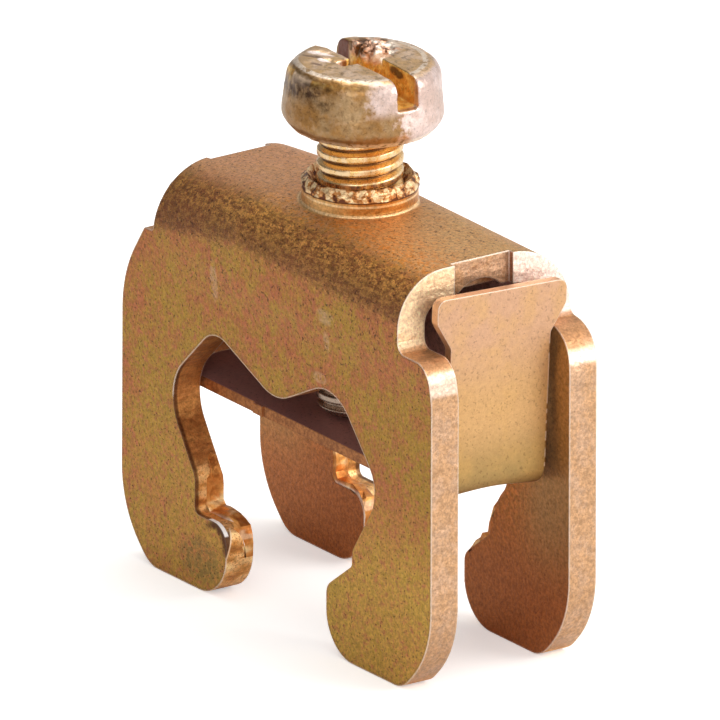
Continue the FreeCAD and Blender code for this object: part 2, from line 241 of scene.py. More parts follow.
class Graph:
    """Short calls for building one material out of nodes. Positions are in millimetres."""

    def __init__(self, name):
        self.material = bpy.data.materials.new(name)
        self.material.use_nodes = True
        self.nodes = self.material.node_tree.nodes
        self.links = self.material.node_tree.links
        self.nodes.clear()
        place = self.nodes.new("ShaderNodeTexCoord")
        scaled = self.nodes.new("ShaderNodeVectorMath")
        scaled.operation = "SCALE"
        scaled.inputs["Scale"].default_value = 1 / MM
        self.links.new(place.outputs["Object"], scaled.inputs[0])
        self.position = scaled.outputs[0]
        self.x, self.y, self.z = self.split(self.position)
        self.nx, self.ny, self.nz = self.split(place.outputs["Normal"])

    def put(self, socket, value):
        """Links a socket to another one, or sets its value."""
        if isinstance(value, bpy.types.NodeSocket):
            self.links.new(value, socket)
        else:
            socket.default_value = value

    def split(self, vector):
        """The three parts of a vector."""
        node = self.nodes.new("ShaderNodeSeparateXYZ")
        self.links.new(vector, node.inputs[0])
        return node.outputs[0], node.outputs[1], node.outputs[2]

    def math(self, operation, first, second=0.0):
        """One operation on two sockets or numbers."""
        node = self.nodes.new("ShaderNodeMath")
        node.operation = operation
        self.put(node.inputs[0], first)
        self.put(node.inputs[1], second)
        return node.outputs[0]

    def step(self, value, low, high):
        """0 below low, 1 above high, smooth between; low may be above high."""
        node = self.nodes.new("ShaderNodeMapRange")
        node.interpolation_type = "SMOOTHSTEP"
        backwards = low > high
        if backwards:
            low, high = high, low
        self.put(node.inputs["Value"], value)
        node.inputs["From Min"].default_value = low
        node.inputs["From Max"].default_value = high
        node.inputs["To Min"].default_value = 1.0 if backwards else 0.0
        node.inputs["To Max"].default_value = 0.0 if backwards else 1.0
        return node.outputs["Result"]

    def noise(self, scale, detail=3.0, rough=0.55, stretch=(1, 1, 1), shift=0.0):
        """Noise with about scale waves a millimetre."""
        mapping = self.nodes.new("ShaderNodeMapping")
        mapping.inputs["Scale"].default_value = stretch
        mapping.inputs["Location"].default_value = (shift, shift * 0.7, shift * 1.3)
        self.links.new(self.position, mapping.inputs["Vector"])
        node = self.nodes.new("ShaderNodeTexNoise")
        self.links.new(mapping.outputs[0], node.inputs["Vector"])
        node.inputs["Scale"].default_value = scale
        node.inputs["Detail"].default_value = detail
        node.inputs["Roughness"].default_value = rough
        return node.outputs["Fac"]

    def mix(self, factor, first, second):
        """The first colour where factor is 0, the second where it is 1."""
        node = self.nodes.new("ShaderNodeMix")
        node.data_type = "RGBA"
        self.put(node.inputs[0], factor)
        self.put(node.inputs[6], first)
        self.put(node.inputs[7], second)
        return node.outputs[2]

    def both(self, first, second):
        """Where both masks are; also one value times another."""
        return self.math("MULTIPLY", first, second)

    def either(self, first, second):
        """Where either mask is."""
        return self.math("MAXIMUM", first, second)

    def without(self, value):
        """Where a mask is not."""
        return self.math("SUBTRACT", 1.0, value)

    def squares(self, first, second):
        """The sum of two values' squares."""
        return self.math("ADD", self.both(first, first), self.both(second, second))

    def length(self, first, second):
        """The distance that two values at right angles make."""
        return self.math("SQRT", self.squares(first, second))

    def eased(self, radius):
        """The normal, rounded over at the edges by a radius."""
        node = self.nodes.new("ShaderNodeBevel")
        node.samples = BEVEL_SAMPLES
        node.inputs["Radius"].default_value = radius * MM
        return node.outputs[0]

    def finish(self, colour, roughness, metallic, height, bump, edge_radius):
        """Closes the graph with a shader whose normals are eased at the edges."""
        raised = self.nodes.new("ShaderNodeBump")
        raised.inputs["Strength"].default_value = 1.0
        raised.inputs["Distance"].default_value = bump * MM
        self.links.new(height, raised.inputs["Height"])
        self.links.new(self.eased(edge_radius), raised.inputs["Normal"])
        shader = self.nodes.new("ShaderNodeBsdfPrincipled")
        self.put(shader.inputs["Base Color"], colour)
        self.put(shader.inputs["Roughness"], roughness)
        self.put(shader.inputs["Metallic"], metallic)
        self.links.new(raised.outputs[0], shader.inputs["Normal"])
        out = self.nodes.new("ShaderNodeOutputMaterial")
        self.links.new(shader.outputs[0], out.inputs[0])
        return self.material

    def edges(self, radius, low, high):
        """1 along the edges, found by how far easing turns the normal."""
        flat = self.nodes.new("ShaderNodeNewGeometry")
        turned = self.nodes.new("ShaderNodeVectorMath")
        turned.operation = "DOT_PRODUCT"
        self.links.new(self.eased(radius), turned.inputs[0])
        self.links.new(flat.outputs["Normal"], turned.inputs[1])
        return self.step(turned.outputs["Value"], high, low)


def srgb(red, green, blue):
    """A colour given as it looks on screen, 0 to 255, as the linear values a shader takes."""
    def linear(value):
        value /= 255
        return value / 12.92 if value <= 0.04045 else ((value + 0.055) / 1.055) ** 2.4
    return (linear(red), linear(green), linear(blue), 1.0)


# Colours of the plating, of bare edges and their painted highlights, and of what lies in their
# shade.
OLIVE = srgb(172, 138, 50)
ROSE = srgb(178, 102, 64)
TAN = srgb(178, 126, 62)
PALE = srgb(199, 157, 118)
BURR_AND_EDGE_HIGHLIGHT = srgb(255, 240, 224)
BROWN = srgb(120, 74, 40)
SOOT = srgb(62, 38, 22)
DEEP = srgb(198, 150, 146)
HOLLOW = srgb(184, 138, 128)


def speckled(graph, colour, amount):
    """Darkens scattered pin-prick spots."""
    small = graph.step(graph.noise(6.0, 2.0, 0.5, shift=4.0), 0.40, 0.32)
    return graph.mix(graph.both(small, amount), colour, SOOT)


def mottled(graph, colour, amount):
    """Makes a colour a little lighter and darker from grain to grain."""
    grain = graph.noise(4.5, 4.0, 0.8, shift=11.0)
    spread = graph.both(graph.step(grain, 0.32, 0.68), 2 * amount)
    node = graph.nodes.new("ShaderNodeVectorMath")
    node.operation = "SCALE"
    graph.put(node.inputs[0], colour)
    graph.put(node.inputs["Scale"], graph.math("ADD", 1.0 - amount, spread))
    return node.outputs[0]


def spot(graph, x, z, long, high):
    """1 inside a soft oval on the side of the sheet, centred on x and z."""
    across = graph.math("DIVIDE", graph.math("SUBTRACT", graph.x, x), long)
    up = graph.math("DIVIDE", graph.math("SUBTRACT", graph.z, z), high)
    return graph.step(graph.squares(across, up), 1.0, 0.35)


def within(graph, value, low, high, soft):
    """1 between low and high, fading over soft outside them."""
    return graph.both(graph.step(value, low - soft, low), graph.step(value, high + soft, high))


def plated_colour(g, grain, fine):
    """The yellow-passivated skin: olive and rose in fine mottling, with a few rubbed marks."""
    wide = g.noise(0.22, 2.0, 0.5, (1, 1, 0.8), 3.0)
    patch = g.noise(0.9, 3.0, 0.7, (1, 1, 0.8), 9.0)
    hue = g.math("ADD", g.both(wide, 0.45), g.both(patch, 0.55))
    colour = g.mix(g.step(hue, 0.40, 0.60), ROSE, OLIVE)
    colour = g.mix(0.35, colour, TAN)
    low = g.both(g.step(g.z, 13.0, 5.0), g.step(g.x, -26.0, 6.0))
    colour = g.mix(g.both(low, 0.65), colour, srgb(214, 176, 82))
    colour = g.mix(g.both(g.step(grain, 0.50, 0.66), 0.70), colour, srgb(188, 108, 80))
    colour = g.mix(g.both(g.step(grain, 0.48, 0.34), 0.70), colour, srgb(172, 138, 48))
    colour = g.mix(g.both(g.step(fine, 0.60, 0.72), 0.40), colour, srgb(210, 166, 104))
    colour = g.mix(g.both(g.step(fine, 0.42, 0.32), 0.40), colour, srgb(140, 92, 84))
    rubbed = g.either(spot(g, -6.05, 18.8, 0.45, 1.5), spot(g, 5.0, 20.0, 1.0, 0.55))
    rubbed = g.either(rubbed, spot(g, 5.0, 18.5, 0.35, 0.75))
    rubbed = g.either(rubbed, spot(g, 4.2, 16.1, 0.8, 0.4))
    rubbed = g.both(rubbed, g.step(grain, 0.36, 0.58))
    colour = g.mix(g.both(rubbed, 0.42), colour, srgb(200, 180, 138))
    dirty = g.both(spot(g, -7.4, 1.8, 2.4, 1.6), g.step(grain, 0.56, 0.44))
    return g.mix(g.both(dirty, 0.5), colour, srgb(112, 98, 66))


def bent_colour(g):
    """The dome's stretched skin: a painted dark reflection low on the rounding, darker at the -X
    end, flecked and pitted above.
    """
    streak = g.noise(3.2, 4.0, 0.9, (0.6, 1.1, 1.1), 2.0)
    flecked = g.mix(g.step(streak, 0.44, 0.60), srgb(148, 92, 52), srgb(236, 172, 92))
    flecked = g.mix(g.step(streak, 0.43, 0.34), flecked, srgb(80, 46, 36))
    flecked = g.mix(g.both(g.step(g.x, -5.0, -11.0), 0.35), flecked, srgb(112, 62, 30))
    # Painted shade: the dark reflection along the lower part of the rounding.
    low = g.both(g.step(g.nz, 0.0, 0.2), g.step(g.nz, 0.72, 0.30))
    return g.mix(g.both(low, 0.55), flecked, srgb(124, 76, 48)), streak


def sheared_colour(g, window, fine):
    """Cut edges: pale where they face the open, orange inside the window, torn at the hooks."""
    patch = g.noise(0.9, 3.0, 0.7, (1, 1, 0.8), 9.0)
    facet = g.noise(1.1, 2.0, 0.6, (1, 0.5, 1), 5.0)
    lines = g.noise(1.0, 3.0, 0.7, (1, 0.25, 2.6), 6.0)
    cut = g.mix(g.step(facet, 0.45, 0.65), srgb(178, 116, 62), srgb(205, 144, 80))
    cut = g.mix(g.both(g.step(lines, 0.50, 0.62), 0.45), cut, srgb(214, 146, 82))
    # Torn facets low in the window, the palest of them painted highlights.
    torn = g.mix(g.step(facet, 0.36, 0.70), srgb(208, 146, 76), srgb(255, 212, 150))
    torn = g.mix(g.step(fine, 0.44, 0.34), torn, srgb(176, 106, 54))
    cut = g.mix(g.both(g.step(g.z, 7.4, 6.6), g.step(facet, 0.30, 0.44)), cut, torn)
    depth = g.math("ABSOLUTE", g.y)
    # Painted shade of the rolled-over near edge of the window's walls.
    rolled_over_shade = g.both(g.step(depth, 5.30, 5.45), within(g, g.z, 4.5, 12.5, 1.0))
    cut = g.mix(g.both(rolled_over_shade, 0.8), cut, srgb(78, 42, 24))

    # Edges in the open: painted highlights at the dome's ends and the upper +X corners, painted
    # shade on the shoulders.
    pale = g.mix(g.step(patch, 0.40, 0.62), PALE, srgb(200, 163, 132))
    pale = g.mix(g.both(g.step(fine, 0.50, 0.64), 0.40), pale, srgb(180, 132, 90))
    lit = g.both(g.step(g.z, 19.6, 20.4), within(g, g.math("ABSOLUTE", g.x), 12.05, 12.5, 0.04))
    highlight_pink = g.mix(g.step(g.y, -1.0, 2.5), srgb(255, 224, 184), srgb(255, 230, 218))
    highlight_pink = g.mix(g.both(g.step(fine, 0.54, 0.66), 0.25), highlight_pink, srgb(212, 168, 124))
    pale = g.mix(lit, pale, highlight_pink)
    ledge_shade = g.both(g.step(g.nz, 0.45, 0.8), within(g, g.z, 19.0, 20.7, 0.2))
    pale = g.mix(g.both(ledge_shade, 0.8), pale, srgb(176, 126, 84))
    # Painted highlight at the top of the legs' +X ends.
    corner = g.both(within(g, g.z, 18.3, 19.2, 0.4), g.step(g.x, 14.6, 14.9))
    pale = g.mix(g.both(corner, 0.8), pale, srgb(255, 226, 206))
    return g.mix(window, pale, cut), facet


def collar_colour(g, grain):
    """The drawn collar: golden with painted highlight bands, a torn band of pits and bright chips
    round its rim.
    """
    gilt = g.mix(g.step(grain, 0.35, 0.65), srgb(178, 116, 54), srgb(202, 140, 74))
    left = g.step(g.math("ADD", g.both(g.x, 0.57), g.both(g.y, 0.82)), 0.0, -2.4)
    gilt = g.mix(g.both(left, 0.5), gilt, srgb(232, 190, 128))
    # Painted highlight bands round the collar's wall.
    sheen = g.either(within(g, g.z, 24.98, 25.04, 0.07), within(g, g.z, 24.42, 24.48, 0.07))
    gilt = g.mix(g.both(sheen, 0.7), gilt, srgb(255, 220, 168))
    chips = g.noise(2.1, 2.0, 0.6, (1, 1, 0.8), 8.0)
    pits = g.math("ADD", 0.420, g.both(left, 0.015))
    depth = g.math("SUBTRACT", chips, pits)
    chip = g.mix(g.step(depth, -0.02, 0.03), srgb(104, 62, 42), srgb(196, 136, 80))
    chip = g.mix(g.step(depth, 0.07, 0.12), chip, srgb(250, 218, 170))
    under = g.step(g.z, COLLAR_TOP - 0.70, COLLAR_TOP - 0.64)
    chip = g.mix(under, srgb(96, 54, 30), chip)
    return g.mix(g.step(g.z, COLLAR_TOP - 0.78, COLLAR_TOP - 0.72), gilt, chip)


def roof_colour(g, grain, streak):
    """The flat top of the dome: pale, streaked golden and pitted towards -Y but not towards -X."""
    roof = g.mix(g.step(g.x, -6.0, 6.0), srgb(214, 158, 116), srgb(212, 168, 116))
    roof = g.mix(g.both(g.step(grain, 0.48, 0.66), 0.55), roof, srgb(196, 146, 80))
    golden = g.both(g.step(g.y, 1.0, -3.4), g.step(g.x, -9.0, 1.0))
    roof = g.mix(g.both(golden, g.step(streak, 0.46, 0.58)), roof, srgb(222, 150, 72))
    return g.mix(g.both(g.both(golden, 0.8), g.step(streak, 0.40, 0.33)), roof, srgb(110, 68, 44))


def inside_colour(g, grain, wide_x):
    """The inside of the channel: orange low down, dark under the dome."""
    inside = g.mix(g.step(grain, 0.42, 0.6), srgb(204, 126, 62), srgb(176, 116, 56))
    inside = g.mix(g.step(g.z, 10.0, 3.0), inside, srgb(182, 112, 62))
    ends = g.both(g.step(wide_x, 9.0, 13.0), g.step(g.z, 3.0, 9.0))
    inside = g.mix(ends, inside, srgb(180, 136, 84))
    under = g.both(g.step(g.z, 10.5, 15.5), g.step(wide_x, 13.4, 10.8))
    return g.mix(under, inside, HOLLOW)


def drawn_tip_shade_and_glint(g, colour, grain):
    """Beside the square hook's tip the sheet is drawn down; the shade of its hollow is painted as a
    dark crescent and wedge.

    Gives the colour with a painted glint and a painted highlight along the end face's edge, and the
    masks of the painted shade and of the glint.
    """
    aside = g.math("SUBTRACT", g.x, HOOK_TIP[0])
    above = g.math("SUBTRACT", g.z, HOOK_TIP[1])
    tip = g.length(aside, above)
    # Painted shade: a dark crescent round the tip, and a dark wedge on the hook's end.
    drawn = g.both(spot(g, -5.8, 3.6, 1.3, 1.15), g.step(g.y, -5.5, -5.6))
    drawn = g.both(drawn, g.step(g.math("ADD", tip, g.both(grain, 0.8)), 1.15, 1.55))
    corner = g.math("DIVIDE", g.math("SUBTRACT", g.z, 2.6), 2.9)
    corner = g.math("SUBTRACT", g.y, g.math("ADD", corner, -LEG_OUTSIDE))
    hook_end = g.both(within(g, g.z, 2.7, 4.1, 0.15), within(g, g.x, -5.4, -4.8, 0.1))
    wedge = g.math("ADD", g.x, g.both(g.math("SUBTRACT", g.z, 4.1), 0.25))
    torn_off_shade = g.both(g.both(g.step(corner, 0.03, -0.03), hook_end), g.step(wedge, -5.45, -5.25))
    drawn = g.either(drawn, torn_off_shade)
    colour = g.mix(g.both(drawn, 0.90), colour, srgb(84, 44, 22))
    # Painted highlight along the edge of the hook's end face.
    line = g.both(within(g, corner, 0.02, 0.08, 0.03), hook_end)
    colour = g.mix(g.both(line, 0.85), colour, srgb(246, 222, 190))
    glint = g.both(within(g, g.x, -6.6, -5.15, 0.2), within(g, g.y, -5.58, -5.36, 0.04))
    glint = g.both(glint, within(g, g.z, 3.85, 4.6, 0.1))
    return g.mix(glint, colour, srgb(255, 252, 250)), drawn, glint


def saddle_material():
    """The saddle's sheet: plated sides, dome, roof, inside, cut edges, collar and hook tip."""
    g = Graph("passivated_sheet")
    wide_x = g.math("ABSOLUTE", g.x)
    steep = g.math("ABSOLUTE", g.ny)
    over = g.both(g.step(g.z, SHOULDER + 0.6, SHOULDER + 1.2),
                  g.step(g.math("ABSOLUTE", g.nz), 0.35, 0.6))
    rolled = g.either(g.step(steep, 0.25, 0.5), over)
    sheared = g.without(rolled)
    inward = g.step(g.both(g.y, g.ny), -0.2, -1.2)
    ceiling = g.both(g.step(g.nz, -0.2, -0.6), g.step(g.z, SHOULDER, SHOULDER + 1.0))
    inward = g.either(inward, ceiling)
    window = g.both(g.step(wide_x, 13.2, 12.4), g.step(g.z, 17.6, 16.8))
    grain = g.noise(2.6, 4.0, 0.75)
    fine = g.noise(7.0, 3.0, 0.75)
    colour = plated_colour(g, grain, fine)

    bent = g.both(g.step(g.nz, -0.02, 0.25), g.step(g.nz, 1.02, 0.74))
    bent = g.both(bent, g.step(g.z, SHOULDER - 1.0, SHOULDER + 1.0))
    bent = g.both(bent, g.without(inward))
    flecked, streak = bent_colour(g)
    colour = g.mix(g.both(bent, 0.82), colour, flecked)

    top = g.both(g.step(g.nz, 0.80, 0.99), g.step(g.z, 22.6, 23.2))
    colour = g.mix(g.both(top, 0.85), colour, roof_colour(g, grain, streak))
    colour = g.mix(inward, colour, inside_colour(g, grain, wide_x))

    cut, facet = sheared_colour(g, window, fine)
    colour = g.mix(sheared, colour, cut)
    ring = g.length(g.x, g.y)
    collar = g.both(g.step(ring, COLLAR_OUTSIDE + 0.32, COLLAR_OUTSIDE + 0.15),
                    g.step(g.z, DOME_TOP - 0.2, DOME_TOP - 0.05))
    colour = g.mix(collar, colour, collar_colour(g, grain))

    quiet = g.either(g.either(sheared, collar), g.both(inward, 0.8))
    colour = mottled(g, colour, 0.26)
    colour = speckled(g, colour, g.math("SUBTRACT", 0.75, g.both(quiet, 0.55)))
    skin = g.both(rolled, g.both(g.without(inward), g.without(collar)))
    shade = g.both(g.edges(0.30, 0.975, 0.995), skin)
    loud = within(g, g.z, 4.6, 10.5, 0.6)
    loud = g.math("SUBTRACT", 1.0, g.both(g.both(loud, window), 0.92))
    colour = g.mix(g.both(g.both(shade, 0.55), loud), colour, BROWN)
    # Painted highlights along the edges, over their burr.
    bright = g.both(g.edges(0.16, 0.86, 0.95), g.both(loud, g.without(collar)))
    colour = g.mix(g.both(bright, 0.95), colour, BURR_AND_EDGE_HIGHLIGHT)

    colour, drawn, glint = drawn_tip_shade_and_glint(g, colour, grain)
    roughness = g.math("ADD", g.both(grain, 0.22), g.math("SUBTRACT", 0.34, g.both(collar, 0.12)))
    roughness = g.math("ADD", roughness, g.both(drawn, 0.25))
    height = g.math("ADD", g.both(fine, 0.6), grain)
    height = g.math("ADD", height, g.both(g.both(bent, streak), 2.6))
    height = g.math("ADD", height, g.both(g.both(sheared, facet), 3.0))
    metal = g.math("SUBTRACT", 0.86, g.both(g.either(glint, g.both(drawn, 0.6)), 0.7))
    return g.finish(colour, roughness, metal, height, 0.04, 0.14)


def plate_material():
    """The pressure plate's strip: brown below, rosy above, pale on the outside of its flaps."""
    g = Graph("passivated_strip")
    patch = g.noise(0.5, 3.0, 0.6, shift=6.0)
    grain = g.noise(3.0, 4.0, 0.75, shift=1.0)
    fine = g.noise(8.0, 3.0, 0.75)
    flap = g.step(g.math("ABSOLUTE", g.nx), 0.4, 0.8)
    outer = g.both(flap, g.step(g.math("ABSOLUTE", g.x), 12.7, 12.95))
    colour = g.mix(g.step(patch, 0.38, 0.64), srgb(160, 98, 52), srgb(126, 78, 46))
    colour = g.mix(g.step(g.nz, 0.3, 0.8), colour, DEEP)
    face = g.mix(g.step(g.z, 16.0, 21.0), srgb(206, 164, 112), srgb(204, 162, 130))
    face = g.mix(g.step(g.z, 15.5, 11.8), face, srgb(166, 136, 84))
    face = g.mix(g.both(g.step(patch, 0.42, 0.70), 0.35), face, srgb(212, 168, 98))
    face = g.mix(g.both(g.step(fine, 0.52, 0.68), 0.35), face, srgb(180, 134, 92))
    colour = g.mix(outer, colour, face)
    edge = g.step(g.math("ABSOLUTE", g.ny), 0.6, 0.85)
    side = g.mix(g.step(grain, 0.4, 0.6), srgb(146, 92, 54), srgb(188, 126, 76))
    side = g.mix(g.step(g.z, 12.6, 13.4), side, srgb(226, 178, 138))
    colour = g.mix(edge, colour, side)
    tip = g.both(g.step(g.nz, 0.5, 0.8), g.step(g.z, 21.2, 21.6))
    colour = g.mix(tip, colour, srgb(214, 168, 132))
    colour = mottled(g, colour, 0.08)
    colour = speckled(g, colour, 0.30)
    teeth = g.step(g.noise(1.8, 1.0, 0.5, (0.3, 0.3, 1), 2.5), 0.44, 0.52)
    sawn = g.both(g.edges(0.20, 0.90, 0.98), g.both(g.step(g.y, 2.8, 3.2), outer))
    sawn = g.both(sawn, g.step(g.z, 19.6, 19.0))
    colour = g.mix(g.both(sawn, 0.85), colour, g.mix(teeth, srgb(110, 70, 34), BURR_AND_EDGE_HIGHLIGHT))
    # Painted highlights along the edges near the flaps, over their burr.
    bright = g.both(g.edges(0.10, 0.88, 0.97), g.step(g.math("ABSOLUTE", g.x), 11.5, 12.5))
    bright = g.both(bright, g.without(g.both(sawn, g.without(teeth))))
    colour = g.mix(g.both(bright, 0.85), colour, BURR_AND_EDGE_HIGHLIGHT)
    roughness = g.math("ADD", g.both(grain, 0.2), 0.38)
    height = g.math("ADD", g.both(fine, 0.3), grain)
    return g.finish(colour, roughness, 0.80, height, 0.02, 0.10)


def torn_material():
    """Freshly torn metal: brown and golden facets, the palest painted highlights, a painted glint
    on the lip and a painted highlight low down.
    """
    g = Graph("torn_metal")
    facet = g.noise(1.0, 2.0, 0.6, (1, 0.6, 1), 5.0)
    fine = g.noise(6.0, 3.0, 0.7)
    colour = g.mix(g.step(facet, 0.36, 0.60), srgb(186, 114, 54), srgb(226, 160, 88))
    # The palest facets are painted highlights.
    colour = g.mix(g.step(facet, 0.54, 0.72), colour, srgb(255, 216, 158))
    colour = g.mix(g.step(g.z, 7.0, 9.5), colour, srgb(184, 112, 56))
    # Painted glint on the faces towards +Y and -Y low on the break.
    lip = g.both(g.step(g.math("ABSOLUTE", g.ny), 0.55, 0.8), g.step(g.z, 4.6, 4.3))
    colour = g.mix(g.both(lip, 0.9), colour, srgb(255, 240, 226))
    # Painted highlight along the top of the hook's end.
    seam_highlight = g.both(within(g, g.z, 3.55, 3.95, 0.12), g.step(facet, 0.36, 0.46))
    colour = g.mix(g.both(seam_highlight, 0.9), colour, srgb(226, 184, 146))
    colour = mottled(g, colour, 0.15)
    roughness = g.math("ADD", g.both(fine, 0.2), g.math("ADD", 0.26, g.both(seam_highlight, 0.2)))
    height = g.math("ADD", fine, g.both(facet, 2.0))
    return g.finish(colour, roughness, 0.9, height, 0.04, 0.06)


def marked(g, x, y, turn, wide, long):
    """1 inside a soft oval on the face of the head, turned about its middle."""
    aside = g.math("ADD", g.both(g.x, math.sin(turn)), g.both(g.y, -math.cos(turn)))
    aside = g.math("SUBTRACT", aside, x * math.sin(turn) - y * math.cos(turn))
    ahead = g.math("ADD", g.both(g.x, math.cos(turn)), g.both(g.y, math.sin(turn)))
    ahead = g.math("SUBTRACT", ahead, x * math.cos(turn) + y * math.sin(turn))
    aside = g.math("DIVIDE", aside, wide)
    ahead = g.math("DIVIDE", ahead, long)
    return g.step(g.squares(aside, ahead), 1.1, 0.6)


def side_colour(g, grain, patch, ring, top):
    """The side of the head: dull brass, darker in a band below the rim, with a painted highlight
    beside the slot.
    """
    colour = g.mix(g.step(patch, 0.34, 0.64), srgb(160, 116, 64), srgb(168, 138, 100))
    colour = g.mix(g.both(g.step(grain, 0.50, 0.66), 0.30), colour, srgb(196, 164, 132))
    colour = g.mix(g.both(g.step(grain, 0.44, 0.36), 0.35), colour, srgb(116, 84, 52))
    turned = g.math("ADD", g.both(g.x, 0.82), g.both(g.y, -0.57))
    turned = g.math("DIVIDE", turned, g.either(ring, 0.5))
    band = g.both(g.step(g.z, top - 1.9, top - 1.2), g.step(g.z, top - 0.30, top - 0.50))
    band = g.both(band, g.step(g.math("ADD", turned, g.both(grain, 0.4)), 1.16, 0.92))
    band = g.both(band, g.math("ADD", 0.45, g.both(g.step(grain, 0.60, 0.44), 0.55)))
    colour = g.mix(g.both(band, 0.9), colour, srgb(66, 42, 30))

    # Painted highlight, near white, on the side towards the key lamp, reaching further round near
    # the top.
    toward = g.math("ADD", g.both(g.x, 0.77), g.both(g.y, 0.64))
    worn = g.math("DIVIDE", toward, g.either(ring, 0.5))
    worn = g.math("ADD", worn, g.both(g.math("SUBTRACT", grain, 0.5), 0.5))
    right = g.step(worn, 0.66, 0.84)
    upper = g.both(g.step(worn, 0.30, 0.50), g.step(g.z, top - 2.3, top - 1.5))
    worn = g.both(g.either(right, g.both(upper, 0.9)), g.step(ring, 3.2, 3.8))
    highlight_tint = g.mix(g.step(patch, 0.40, 0.60), srgb(236, 214, 208), srgb(214, 188, 178))
    return g.mix(g.both(worn, 0.92), colour, highlight_tint)


def recess_colour(g, grain, wall, top):
    """The slot and the cross recess: golden, with painted shade and a painted highlight on the
    slot's walls.

    Gives the colour, and the mask of the stain at the slot's +X end.
    """
    brass = g.mix(g.step(grain, 0.40, 0.62), srgb(226, 160, 66), srgb(252, 210, 116))
    # Painted highlight, and past it painted shade, at the slot's -X end.
    brass = g.mix(g.both(wall, g.step(g.x, -2.25, -2.5)), brass, srgb(255, 226, 168))
    brass = g.mix(g.both(wall, g.step(g.x, -2.5, -2.9)), brass, srgb(112, 62, 44))
    wing = g.both(g.step(g.y, -0.65, -0.8), g.step(g.math("ABSOLUTE", g.x), 1.0, 0.8))
    white = g.step(g.math("ADD", g.y, g.both(g.z, 0.25)), -1.0 + 0.25 * top, -1.3 + 0.25 * top)
    wing_colour = g.mix(white, srgb(132, 82, 48), srgb(255, 226, 200))
    brass = g.mix(g.both(wing, 0.9), brass, wing_colour)
    # Painted shade at the slot's +X end and low on its walls.
    slot_shade = g.both(wall, g.either(g.step(g.x, 3.2, 4.0), g.step(g.z, top - 1.0, top - 1.7)))
    brass = g.mix(g.both(slot_shade, 0.45), brass, srgb(150, 84, 40))
    stained = g.either(spot(g, 1.95, top - 0.38, 0.65, 0.32),
                       spot(g, 2.35, top - 0.47, 0.55, 0.30))
    stained = g.both(stained, g.step(grain, 0.34, 0.46))
    return brass, stained


def head_material(head_base):
    """The screw's head: worn face, side with a painted highlight, golden slot and recess, a chewed
    place, nicks.
    """
    g = Graph("passivated_screw_head")
    top = head_base + HEAD_HEIGHT
    patch = g.noise(0.55, 3.0, 0.65, shift=2.0)
    grain = g.noise(2.2, 3.0, 0.65, shift=7.0)
    fine = g.noise(9.0, 3.0, 0.7)
    ring = g.length(g.x, g.y)
    colour = side_colour(g, grain, patch, ring, top)

    face = g.step(g.nz, 0.75, 0.93)
    dull = g.mix(g.step(patch, 0.40, 0.58), srgb(220, 180, 128), srgb(244, 212, 182))
    dull = g.mix(g.both(g.step(grain, 0.46, 0.36), 0.6), dull, srgb(146, 112, 74))
    colour = g.mix(g.both(face, 0.92), colour, dull)
    # Painted highlight along the top rim and round the foot of the head.
    rim = g.both(within(g, ring, 3.55, 3.75, 0.10), g.step(g.z, top - 0.35, top - 0.2))
    foot = g.step(g.z, head_base + 0.45, head_base + 0.2)
    rim = g.either(rim, g.both(g.step(ring, 3.7, 4.0), foot))
    rim = g.both(rim, g.step(grain, 0.36, 0.48))
    colour = g.mix(g.both(rim, 0.85), colour, srgb(255, 236, 216))

    core = g.step(ring, 4.25, 4.0)
    wall = g.both(g.step(g.math("ABSOLUTE", g.nz), 0.75, 0.45), core)
    floor = g.both(g.step(g.z, head_base + 3.0, head_base + 2.6), core)
    recess = g.both(g.either(wall, floor), g.step(g.z, head_base + 1.0, head_base + 1.3))
    brass, stained = recess_colour(g, grain, wall, top)
    colour = g.mix(recess, colour, brass)
    colour = g.mix(g.both(g.both(recess, stained), 0.85), colour, srgb(70, 36, 20))

    # Where the driver chewed the face: bright torn chips beside dark pits.
    chewed = g.both(marked(g, -1.2, 1.6, 0.0, 1.75, 1.75), g.step(g.z, top - 0.9, top - 0.5))
    chips = g.noise(0.95, 2.0, 0.6, shift=15.0)
    chip = g.mix(g.step(chips, 0.42, 0.47), srgb(86, 48, 32), srgb(226, 176, 148))
    chip = g.mix(g.step(chips, 0.50, 0.54), chip, srgb(255, 236, 218))
    colour = g.mix(g.both(chewed, 0.9), colour, chip)
    flat = g.step(g.z, top - 0.5, top - 0.3)
    # The nicks: a painted highlight on each, with painted shade beside it.
    tick_highlights = 0.0
    for x, y, turn, wide, long in TICKS:
        dark_x, dark_y = x + 0.75 * math.sin(turn), y - 0.75 * math.cos(turn)
        below = marked(g, dark_x, dark_y, turn, 0.5 * wide, 0.85 * long)
        colour = g.mix(g.both(g.both(below, flat), 0.7), colour, srgb(118, 76, 52))
        tick_highlights = g.either(tick_highlights, g.both(marked(g, x, y, turn, wide, long), flat))
    colour = g.mix(g.both(tick_highlights, 0.95), colour, srgb(255, 238, 232))

    under = g.step(g.nz, -0.75, -0.95)
    colour = g.mix(under, colour, srgb(220, 164, 96))
    colour = mottled(g, colour, 0.12)
    colour = speckled(g, colour, 0.30)
    roughness = g.math("ADD", g.both(grain, 0.25), 0.20)
    metal = g.math("SUBTRACT", 0.92, g.both(g.either(recess, tick_highlights), 0.5))
    height = g.math("ADD", g.both(fine, 0.4), grain)
    return g.finish(colour, roughness, metal, height, 0.03, 0.10)


